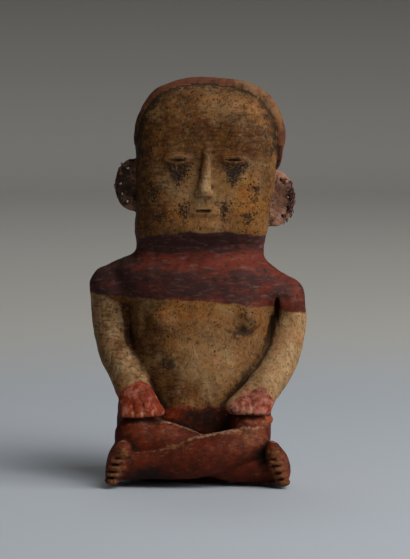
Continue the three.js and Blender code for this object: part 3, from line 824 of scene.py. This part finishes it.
def linear(code):
    """A colour as linear red, green, blue and alpha, from an sRGB hex code."""
    parts = np.array([int(code[i:i + 2], 16) for i in (1, 3, 5)]) / 255
    return (*np.where(parts <= 0.04045, parts / 12.92, ((parts + 0.055) / 1.055) ** 2.4), 1.0)


def new_material(name):
    """A material with an empty node tree, add_node for that tree, and its Object coordinates."""
    material = bpy.data.materials.new(name)
    material.use_nodes = True
    material.node_tree.nodes.clear()
    node = partial(add_node, material.node_tree)
    return material, node, node("TexCoord").outputs["Object"]


def add_node(tree, kind, inputs=None, stops=None, **settings):
    """One shader node with its settings, its input values or links, and its ramp's stops."""
    made = tree.nodes.new("ShaderNode" + kind)
    for name, value in settings.items():
        setattr(made, name, value)
    for socket, value in (inputs or {}).items():
        if isinstance(value, bpy.types.Node):
            value = next(out for out in value.outputs if out.enabled)
        if isinstance(value, bpy.types.NodeSocket):
            tree.links.new(value, made.inputs[socket])
        else:
            made.inputs[socket].default_value = value
    if stops:
        ramp = made.color_ramp
        while len(ramp.elements) < len(stops):
            ramp.elements.new(0.5)
        for element, (position, colour) in zip(ramp.elements, stops):
            element.position = position
            element.color = linear(colour) if isinstance(colour, str) else (*colour, 1.0)
    return made


# How dark each slip is where it is thin and how light where it is thick
THIN, THICK = 0.55, 1.42

# Washes over each slip, and over all of them: colour, size in mm, how far it is drawn out along
# x y z, the noise where it starts and is full, its share, and what attribute pulls it by how much
ROUND = (1, 1, 1)
LEVEL = (0.28, 0.28, 1)
STREAKED = (0.6, 0.6, 1)
UPRIGHT = (1, 1, 0.45)
DRAWN_UP = (1, 1, 0.25)
WASHES = {
    "buff": [
        ("#8a4d1a", 14, ROUND, 0.52, 0.78, 0.8, "iron", 0.28),
        ("#5f4f34", 18, ROUND, 0.5, 0.7, 0.38),
        ("#8a5c22", 9, ROUND, 0.54, 0.84, 0.65, "gold", 0.26),
        # Brown stains, with painted shade on the figure's left side
        ("#4b250a", 15, ROUND, 0.5, 0.84, 0.9, "brown", 0.42),
        # Pale burnished cream, partly painted highlight
        ("#a0835a", 22, ROUND, 0.48, 0.9, 0.55, "pale", 0.34),
        ("#ab8e68", 9, UPRIGHT, 0.66, 0.86, 0.58, "pale", 0.3),
        ("#a06a4a", 7, UPRIGHT, 0.6, 0.84, 0.55, "pale", 0.19),
        ("#6b4822", 1.6, DRAWN_UP, 0.58, 0.72, 0.58, "pale", 0.11),
        # Brown stains, with painted shade on the left
        ("#6e4618", 6, UPRIGHT, 0.58, 0.8, 0.65, "brown", 0.2),
        ("#a88c66", 4.5, ROUND, 0.54, 0.72, 0.3),
        ("#6a5a44", 7, ROUND, 0.55, 0.72, 0.4),
        ("#4a2f12", 4, LEVEL, 0.54, 0.72, 0.36),
        ("#9c8058", 1.5, ROUND, 0.55, 0.68, 0.3),
        # Fewer dark specks where the pale cream and painted highlight lie
        ("#3a220f", 2.2, ROUND, 0.52, 0.65, 0.48, "pale", -0.06),
        ("#1f130a", 1.1, UPRIGHT, 0.55, 0.63, 0.64, "pale", -0.05),
        ("#20140b", 1.9, ROUND, 0.62, 0.66, 0.8),
        # Brown strokes, with painted shade on the left
        ("#2a1808", 1.8, LEVEL, 0.58, 0.72, 0.6, "brown", 0.14),
    ],
    "red": [
        ("#843f26", 9, ROUND, 0.56, 0.76, 0.25),
        ("#ab5f3b", 8, ROUND, 0.54, 0.84, 0.78, "iron", 0.32),
        ("#b67a68", 4, ROUND, 0.55, 0.82, 0.62, "pale", 0.22),
        # Painted shade on the legs, deepening towards the floor
        ("#4a1a0a", 12, LEVEL, 0.48, 0.74, 0.75, "low", 0.3),
        ("#33140a", 4, STREAKED, 0.56, 0.72, 0.6, "low", 0.12),
        # Smoke stains, and painted shade where the spots lie on the left
        ("#2a1310", 11, LEVEL, 0.6, 0.8, 0.75, "smoke", 0.28),
        ("#3a1a10", 2.4, ROUND, 0.54, 0.66, 0.4),
        ("#a06848", 1.8, LEVEL, 0.56, 0.8, 0.32, "iron", 0.08),
    ],
    "yoke": [
        # Dark slip bands, with painted shadow under the jaw and painted highlight on the ledge
        ("#352321", 6, LEVEL, 0.54, 0.76, 0.86, "dark_band", 0.22),
        ("#7d3a2b", 3.5, LEVEL, 0.55, 0.72, 0.42),
        ("#7b5f58", 2, LEVEL, 0.51, 0.76, 0.5),
        ("#1f110e", 1.8, STREAKED, 0.54, 0.66, 0.45),
    ],
    "cap": [
        # Worn slip and painted highlight on the upper right of the cap
        ("#7d6242", 12, ROUND, 0.6, 0.76, 0.8, "worn_cap", 0.3),
        ("#5e3014", 6, ROUND, 0.56, 0.7, 0.55, "worn_cap", 0.1),
        ("#8f5c46", 5, LEVEL, 0.54, 0.74, 0.4),
        ("#7a4a22", 8, ROUND, 0.56, 0.8, 0.6, "iron", 0.3),
        ("#35201a", 4, ROUND, 0.55, 0.7, 0.45),
    ],
    "ear": [
        ("#4d2417", 7, ROUND, 0.5, 0.68, 0.6),
        # Smoke stains, with painted shade on the left ear
        ("#2c1a12", 6, ROUND, 0.54, 0.7, 0.7, "smoke", 0.24),
    ],
    "all": [
        # Painted shadow and stain under the cap's rim
        ("#211c10", 3.4, ROUND, 0.52, 0.76, 0.88, "under_rim", 0.42),
        ("#2e241a", 4.2, ROUND, 0.52, 0.66, 0.62, "face_paint", 0.44),
        ("#14100c", 1.4, ROUND, 0.53, 0.6, 0.85, "face_paint", 0.3),
        # Smoke stains, and painted shade on the figure's left side and under the rim
        ("#1e170f", 5, ROUND, 0.6, 0.86, 0.82, "smoke", 0.34),
        ("#80572e", 2.2, ROUND, 0.64, 0.84, 0.6, "toes", 0.3),
        ("#23160c", 1.6, ROUND, 0.66, 0.8, 0.6, "toes", 0.2),
        ("#9f7350", 3, ROUND, 0.7, 1.2, 0.62, "wear", 0.5),
        ("#b48d70", 2, ROUND, 0.74, 1.08, 0.66, "lime", 0.6),
        # Soil and painted shade in hollows, creases and between parts
        ("#1c1108", 4.6, ROUND, 0.66, 0.96, 0.78, "soil", 0.6),
        ("#1d130d", 1.6, ROUND, 0.67, 0.71, 0.6),
    ],
}

# Slips laid over the buff: attribute, slip, raggedness of the edge in mm, softness of it in mm
ZONES = [
    ("red_slip", "red", 7.0, 0.9),
    ("yoke", "yoke", 2.6, 0.5),
    ("cap_slip", "cap", 1.0, 0.3),
    ("ear_slip", "ear", 3.0, 0.6),
]


def lay_washes(node, place, surface, washes):
    """Each wash lies over the surface where noise of its size, pulled by its attribute, is high."""
    for colour, size, drawn, start, full, share, *pull in washes:
        pattern = node("TexNoise", {
            "Vector": node("Mapping", {"Vector": place, "Scale": drawn}), "Scale": 1 / (size * MM),
            "Detail": 7, "Roughness": 0.62, "Distortion": 0.4})
        if pull:
            there = node("Attribute", attribute_name=pull[0]).outputs["Fac"]
            pattern = node("Math", {0: there, 1: pull[1], 2: pattern}, operation="MULTIPLY_ADD")
        cover = node("MapRange", {
            "Value": pattern, "From Min": start, "From Max": full, "To Max": share,
        }, interpolation_type="SMOOTHSTEP")
        mixed = node("Mix", {0: cover, 6: surface, 7: linear(colour)}, data_type="RGBA")
        surface = mixed.outputs[2]
    return surface


# Noises of the earthenware: size in mm, detail, roughness
NOISES = {"broad": (26, 6, 0.6), "ragged": (4.5, 6, 0.7), "spread": (14, 3, 0.5),
          "grain": (1.1, 5, 0.65), "strokes": (3, 4, 0.6)}


def slip_painted_earthenware(settings):
    """Low-fired clay under cream, red and black slips, burnished, then worn and stained by soil,
    with painted shade and painted highlight laid in among the stains.
    """
    material, node, place = new_material("slip_painted_earthenware")

    drawn_out = node("Mapping", {"Vector": place, "Scale": LEVEL})
    noise = {
        name: node("TexNoise", {
            "Vector": drawn_out if name == "strokes" else place, "Scale": 1 / (size * MM),
            "Detail": detail, "Roughness": roughness})
        for name, (size, detail, roughness) in NOISES.items()}
    slips = {}
    for name, washes in WASHES.items():
        if name != "all":
            usual = np.array(getattr(settings, name))
            shades = [(0.35, THIN * usual), (0.5, usual), (0.65, THICK * usual)]
            shaded = node("ValToRGB", {0: noise["broad"]}, stops=shades).outputs["Color"]
            slips[name] = lay_washes(node, place, shaded, washes)

    shift = node("Math", {0: noise["ragged"], 1: 0.5}, operation="SUBTRACT")
    surface = slips["buff"]
    for name, slip, raggedness, soft in ZONES:
        inside = node("Attribute", attribute_name=name).outputs["Fac"]
        inside = node("Math", {0: shift, 1: raggedness, 2: inside}, operation="MULTIPLY_ADD")
        cover = node("MapRange", {"Value": inside, "From Min": -soft, "From Max": soft})
        surface = node("Mix", {0: cover, 6: surface, 7: slips[slip]}, data_type="RGBA").outputs[2]
    surface = lay_washes(node, place, surface, WASHES["all"])

    cells = node("TexVoronoi", {"Vector": place, "Scale": 1 / settings.pit_spacing})
    size = node("MapRange", {
        "Value": noise["spread"], "From Min": 0.36, "From Max": 0.66, "To Min": 0.03,
        "To Max": 0.29})
    smooth = node("Attribute", attribute_name="smooth").outputs["Fac"]
    size = node("Math", {0: smooth, 1: -0.10, 2: size}, operation="MULTIPLY_ADD")
    depth = node("Math", {0: size, 1: cells.outputs["Distance"]}, operation="SUBTRACT")
    pits = node("MapRange", {"Value": depth, "From Min": 0.0, "From Max": 0.06})
    colour = node("Mix", {0: pits, 6: surface, 7: linear("#1f1712")}, data_type="RGBA").outputs[2]

    height = 0.0
    for layer, share in ((noise["grain"], 0.10), (noise["strokes"], 0.22), (pits, -0.4)):
        height = node("Math", {0: layer, 1: share, 2: height}, operation="MULTIPLY_ADD")
    bump = node("Bump", {"Strength": 0.6, "Distance": MM, "Height": height})
    gloss = node("MapRange", {
        "Value": noise["ragged"], "From Min": 0.3, "From Max": 0.7, "To Min": 0.56,
        "To Max": 0.80})
    shader = node("BsdfPrincipled", {
        "Base Color": colour, "Roughness": gloss, "Normal": bump, "Specular IOR Level": 0.11})
    node("OutputMaterial", {"Surface": shader})
    return material


def dried_rootlet():
    """Brown rootlets, matt and hair-fine, redder where soil clings."""
    material, node, place = new_material("dried_rootlet")
    clinging = node("TexNoise", {"Vector": place, "Scale": 1 / (2.5 * MM), "Detail": 3.0})
    colour = node("ValToRGB", {0: clinging}, stops=[
        (0.38, "#1a0f0d"), (0.52, "#45211b"), (0.66, "#744a3c")])
    shader = node("BsdfPrincipled", {"Base Color": colour, "Roughness": 0.85})
    node("OutputMaterial", {"Surface": shader})
    return material


# How far the paper has gone from near to level colour, and from level to far, by its height in
# metres, where a length on the floor counts an eighth
PAPER_NEAR = 0.06
PAPER_FALL = [(0.13, 0.0), (0.25, 0.0), (0.44, 0.19), (0.50, 0.46), (0.58, 0.71), (0.8, 1.0)]
ON_FLOOR = (1 / 8, 1 / 8, 1)


def grey_paper(settings):
    """Matt paper, bluish and light near the figure, darker and warmer where it rises."""
    material, node, place = new_material("grey_paper")
    raised = node("Mapping", {"Vector": place, "Scale": ON_FLOOR})
    away = node("VectorMath", {0: raised}, operation="LENGTH").outputs["Value"]
    level, far = np.array(settings.paper), np.array(settings.paper_far)
    stops = [(0.0, settings.paper_near), (PAPER_NEAR, settings.paper_near)]
    stops += [(at, level + share * (far - level)) for at, share in PAPER_FALL]
    colour = node("ValToRGB", {0: away}, stops=stops)
    shader = node("BsdfPrincipled", {"Base Color": colour, "Roughness": 0.9})
    node("OutputMaterial", {"Surface": shader})
    return material


# Settings, operators and panel

def colour_setting(name, code, description):
    """A colour's property, its default given as an sRGB hex code."""
    return FloatVectorProperty(name=name, description=description, subtype="COLOR", size=3,
                               min=0, max=1, default=linear(code)[:3])


def length_setting(name, default, description):
    """A length's property, in metres."""
    return FloatProperty(name=name, description=description, default=default, min=0, precision=4,
                         subtype="DISTANCE", unit="LENGTH")


def angle_setting(name, degrees, description):
    """An angle's property, its default given in degrees."""
    return FloatProperty(name=name, description=description, default=float(np.radians(degrees)),
                         subtype="ANGLE", unit="ROTATION")


class FigureSettings(bpy.types.PropertyGroup):
    relief: length_setting("Relief", 0.0002, "Height of the unevenness left by hand")
    pit_spacing: length_setting("Pit spacing", 0.003, "Mean distance between pits")
    fibre_thickness: length_setting("Fibre thickness", 0.00062, "Thickness of the rootlets")
    buff: colour_setting("Buff slip", "#795029", "Stained cream slip on the face, arms and belly")
    red: colour_setting("Red slip", "#6f2409", "Red slip on the hands, lap and legs")
    yoke: colour_setting("Yoke slip", "#5a2518", "Dark red slip on the neck and shoulders")
    cap: colour_setting("Cap slip", "#5f3525", "Red slip on the hair cap")
    ear: colour_setting("Ear slip", "#9b6f59", "Thin slip on the ears")


class StageSettings(bpy.types.PropertyGroup):
    distance: length_setting("Camera distance", 2.4, "From the camera to the figure")
    field_height: length_setting("Field height", 0.388, "Height that the picture covers")
    elevation: angle_setting("Camera elevation", 5, "How far the camera stands above level")
    key_azimuth: angle_setting("Key azimuth", 66, "How far right the main light stands")
    key_elevation: angle_setting("Key elevation", 25, "How high the main light stands")
    key_power: FloatProperty(
        name="Key light", description="Power of the main light", default=34, min=0, unit="POWER")
    paper_near: colour_setting("Near paper", "#adb3ba", "Floor under the figure")
    paper: colour_setting("Paper", "#bdbbb5", "Backdrop low behind the figure")
    paper_far: colour_setting("Far paper", "#5c5a55", "Backdrop where it rises")


class FIGURE_OT_body(bpy.types.Operator):
    """Build the fired clay body with its slips and stains"""
    bl_idname = "figure.body"
    bl_label = "Build figure"

    def execute(self, context):
        settings = context.scene.figure_settings
        piece = make_figure(settings)
        piece.data.materials.append(slip_painted_earthenware(settings))
        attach(piece, "root")
        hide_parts("seated_figure")
        return {"FINISHED"}


class FIGURE_OT_fibres(bpy.types.Operator):
    """Lay the dried rootlets in the holes of the ears"""
    bl_idname = "figure.fibres"
    bl_label = "Lay rim fibres"

    def execute(self, context):
        piece = make_fibres(context.scene.figure_settings)
        piece.data.materials.append(dried_rootlet())
        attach(piece, "root")
        return {"FINISHED"}


class FIGURE_OT_stage(bpy.types.Operator):
    """Set up the floor, the backdrop, the lights and the camera"""
    bl_idname = "figure.stage"
    bl_label = "Set the stage"

    def execute(self, context):
        settings = context.scene.stage_settings
        backdrop = make_backdrop()
        backdrop.data.materials.append(grey_paper(settings))
        backdrop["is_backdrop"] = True
        add_lights(settings)
        aim_camera(settings)
        return {"FINISHED"}


# Profile of the backdrop, in metres: reach of the flat floor, radius of the bend, height
FLOOR_REACH, BEND, TOP = 3.2, 1.0, 3.5
# What the lights and the camera aim at
FIGURE_MIDDLE = Vector((0, 0, 0.14))
FLOOR_BEHIND = Vector((0, 2.8, 0))
PICTURE_MIDDLE = Vector((0.0050, 0, 0.1392))
SKY = "#dad8d2"
SKY_STRENGTH = 0.12


def make_backdrop():
    """A flat floor whose edge turns up all round: a profile of a straight run, a quarter circle and
    a straight rise, carried round the upright axis."""
    turn = np.linspace(0, np.pi / 2, 16)
    flat = np.linspace(0.001, FLOOR_REACH, 12)[:-1]
    radius = np.concatenate([flat, FLOOR_REACH + BEND * np.sin(turn), [FLOOR_REACH + BEND]])
    height = np.concatenate([0 * flat, BEND * (1 - np.cos(turn)), [TOP]])
    around = np.linspace(0, 2 * np.pi, 96, endpoint=False)
    points = np.stack([
        np.outer(radius, np.cos(around)), np.outer(radius, np.sin(around)),
        np.outer(height, np.ones(len(around)))]).reshape(3, -1) / MM
    return write_mesh("backdrop", points, ring_squares(len(radius), len(around))[:, ::-1])


def add_lights(settings):
    """Two broad soft lights, one low from the viewer's right and one high in front of it, and one
    behind for the backdrop; each stands at its distance, azimuth and elevation from the figure."""
    for name, distance, azimuth, elevation, size, share, aim in (
        ("side_window", 2.0, settings.key_azimuth, settings.key_elevation, (1.9, 1.4), 1,
         FIGURE_MIDDLE),
        ("high_window", 3.2, np.radians(38), np.radians(51), (1.7, 1.7), 1.5, FIGURE_MIDDLE),
        ("backdrop_light", 3.8, np.radians(185), np.radians(56), (1.6, 1.6), 0.65, FLOOR_BEHIND),
    ):
        light = bpy.data.lights.new(name, "AREA")
        light.shape = "RECTANGLE"
        light.size, light.size_y = size
        light.energy = settings.key_power * share
        level = np.cos(elevation)
        way = Vector((level * np.sin(azimuth), -level * np.cos(azimuth), np.sin(elevation)))
        hang(name, light, FIGURE_MIDDLE + distance * way, aim)
    world = bpy.data.worlds.new("studio")
    world.use_nodes = True
    background = world.node_tree.nodes["Background"]
    background.inputs["Color"].default_value = linear(SKY)
    background.inputs["Strength"].default_value = SKY_STRENGTH
    bpy.context.scene.world = world
    bpy.context.scene.view_settings.view_transform = "Standard"


def hang(name, data, at, aim):
    """A light's or camera's object, placed at one point and turned to another."""
    made = bpy.data.objects.new(name, data)
    made.location = at
    made.rotation_euler = (aim - at).to_track_quat("-Z", "Y").to_euler()
    bpy.context.scene.collection.objects.link(made)
    return made


def aim_camera(settings):
    """The camera looks along +Y from a little above, at the middle of the photographed field."""
    camera = bpy.data.cameras.new("camera")
    camera.angle = 2 * np.arctan(settings.field_height / 2 / settings.distance)
    back = Vector((0, -np.cos(settings.elevation), np.sin(settings.elevation)))
    at = PICTURE_MIDDLE + back * settings.distance
    bpy.context.scene.camera = hang("camera", camera, at, PICTURE_MIDDLE)


class FIGURE_PT_panel(bpy.types.Panel):
    """The figure's operators and settings"""
    bl_idname = "FIGURE_PT_panel"
    bl_label = "Seated figure"
    bl_space_type = "VIEW_3D"
    bl_region_type = "UI"
    bl_category = "Figure"

    def draw(self, context):
        layout = self.layout
        for settings in (context.scene.figure_settings, context.scene.stage_settings):
            for name in type(settings).__annotations__:
                layout.prop(settings, name)
        for operator in OPERATORS:
            layout.operator(operator.bl_idname)


OPERATORS = (FIGURE_OT_body, FIGURE_OT_fibres, FIGURE_OT_stage)
CLASSES = (FigureSettings, StageSettings, *OPERATORS, FIGURE_PT_panel)


def register():
    """Register the classes and hang the settings on the scene."""
    for each in CLASSES:
        bpy.utils.register_class(each)
    bpy.types.Scene.figure_settings = PointerProperty(type=FigureSettings)
    bpy.types.Scene.stage_settings = PointerProperty(type=StageSettings)


def unregister():
    """Take away what register added."""
    del bpy.types.Scene.stage_settings
    del bpy.types.Scene.figure_settings
    for each in reversed(CLASSES):
        bpy.utils.unregister_class(each)


def main():
    register()
    bpy.ops.figure.stage()
    bpy.ops.figure.body()
    bpy.ops.figure.fibres()
    boxes = {"cad": CAD_BOX, "visual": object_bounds()}
    {name: np.array(box, float).tolist() for name, box in boxes.items()}


if __name__ == "__main__":
    main()
